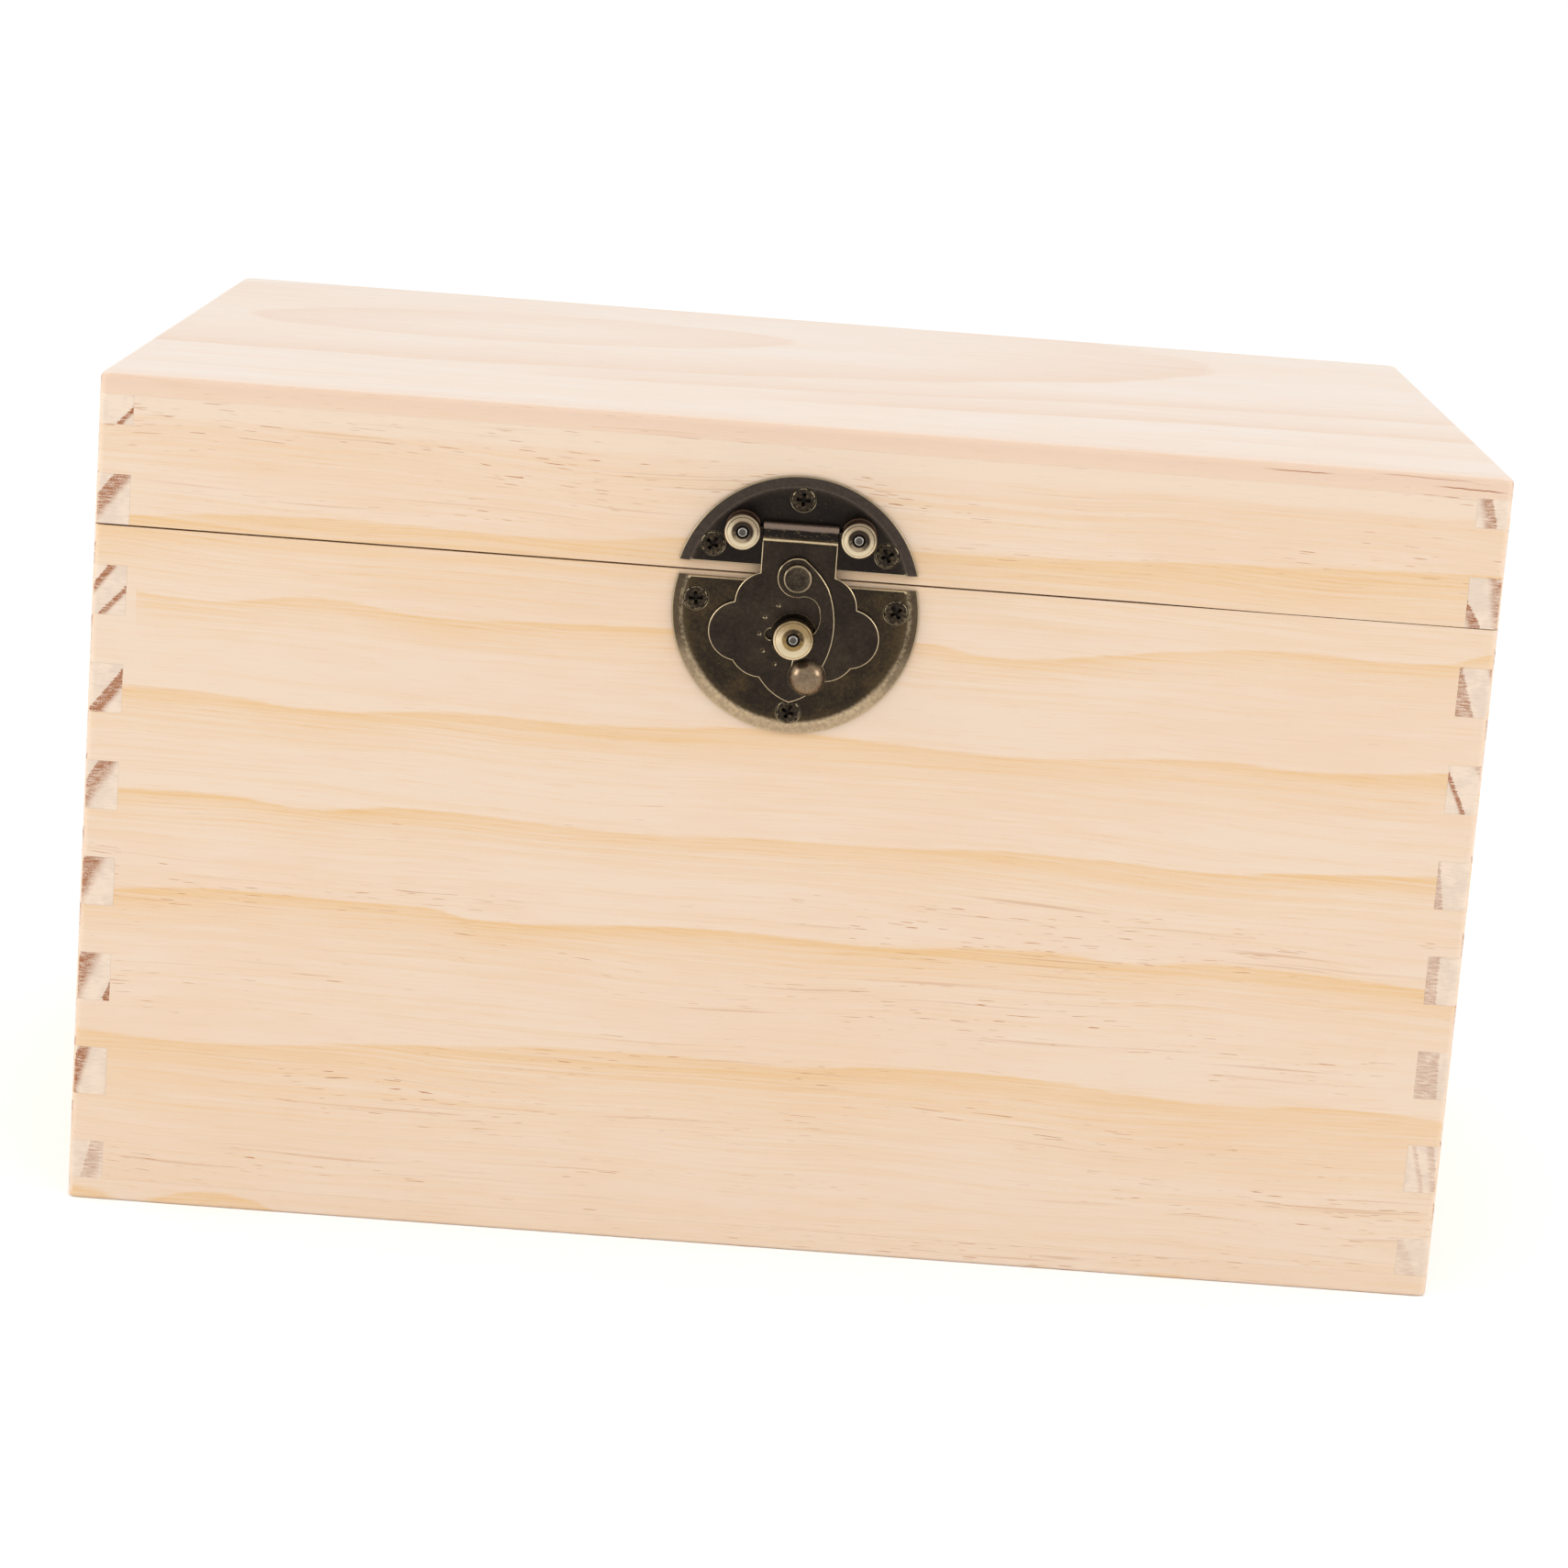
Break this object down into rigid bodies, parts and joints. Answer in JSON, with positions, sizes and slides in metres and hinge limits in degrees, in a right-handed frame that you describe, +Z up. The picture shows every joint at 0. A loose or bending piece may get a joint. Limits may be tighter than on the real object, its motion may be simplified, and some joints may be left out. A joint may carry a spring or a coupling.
{
  "type": "wooden tea box",
  "caption": "Rectangular pine box with finger-jointed corners, a hinged lid and a round bronze latch with a hasp and a swinging hook.",
  "frame": {"origin": "middle of the underside of the wooden case", "axes": "+X to the right seen from the front, +Y from the front to the back, +Z up"},
  "size_m": [0.28, 0.1853, 0.1712],
  "materials": {
    "pine": "bare sanded pine",
    "dark_bronze": "antique bronze plating, worn bright at the edges",
    "aged_brass": "antique brass, rubbed",
    "screw_steel": "dark bronze plated steel"
  },
  "bodies": {
    "base": {"bottom_panel": "pine", "body_front_board": "pine", "body_back_board": "pine", "body_left_board": "pine", "body_right_board": "pine", "latch_lower_plate": "dark_bronze", "keeper_post": "aged_brass", "keeper_rivet": "aged_brass", "latch_screw_4": "screw_steel", "latch_screw_5": "screw_steel", "latch_screw_6": "screw_steel", "hinge_left_body_leaf": "dark_bronze", "hinge_right_body_leaf": "dark_bronze", "hinge_left_pin": "dark_bronze", "hinge_right_pin": "dark_bronze", "hinge_screw_1": "screw_steel", "hinge_screw_2": "screw_steel", "hinge_screw_5": "screw_steel", "hinge_screw_6": "screw_steel"},
    "lid": {"lid_panel": "pine", "lid_front_board": "pine", "lid_back_board": "pine", "lid_left_board": "pine", "lid_right_board": "pine", "latch_upper_plate": "dark_bronze", "latch_post_left": "aged_brass", "latch_post_right": "aged_brass", "latch_post_rivet_left": "aged_brass", "latch_post_rivet_right": "aged_brass", "hasp_pin": "aged_brass", "latch_screw_1": "screw_steel", "latch_screw_2": "screw_steel", "latch_screw_3": "screw_steel", "hinge_left_lid_leaf": "dark_bronze", "hinge_right_lid_leaf": "dark_bronze", "hinge_screw_3": "screw_steel", "hinge_screw_4": "screw_steel", "hinge_screw_7": "screw_steel", "hinge_screw_8": "screw_steel"},
    "hasp": {"hasp_plate": "dark_bronze", "hook_rivet": "dark_bronze"},
    "hook": {"hook": "dark_bronze"}
  },
  "joints": [
    {"name": "lid_hinge", "type": "hinge", "parent": "base", "child": "lid", "pos_m": [0, 0.0883, 0.1406], "axis": [-1, 0, 0], "range_deg": [0, 110]},
    {"name": "hasp_swing", "type": "hinge", "parent": "lid", "child": "hasp", "pos_m": [0, -0.0896, 0.1502], "axis": [-1, 0, 0], "range_deg": [0, 160]},
    {"name": "hook_swing", "type": "hinge", "parent": "hasp", "child": "hook", "pos_m": [0, -0.0895, 0.141], "axis": [0, -1, 0], "range_deg": [0, 65]}
  ]
}
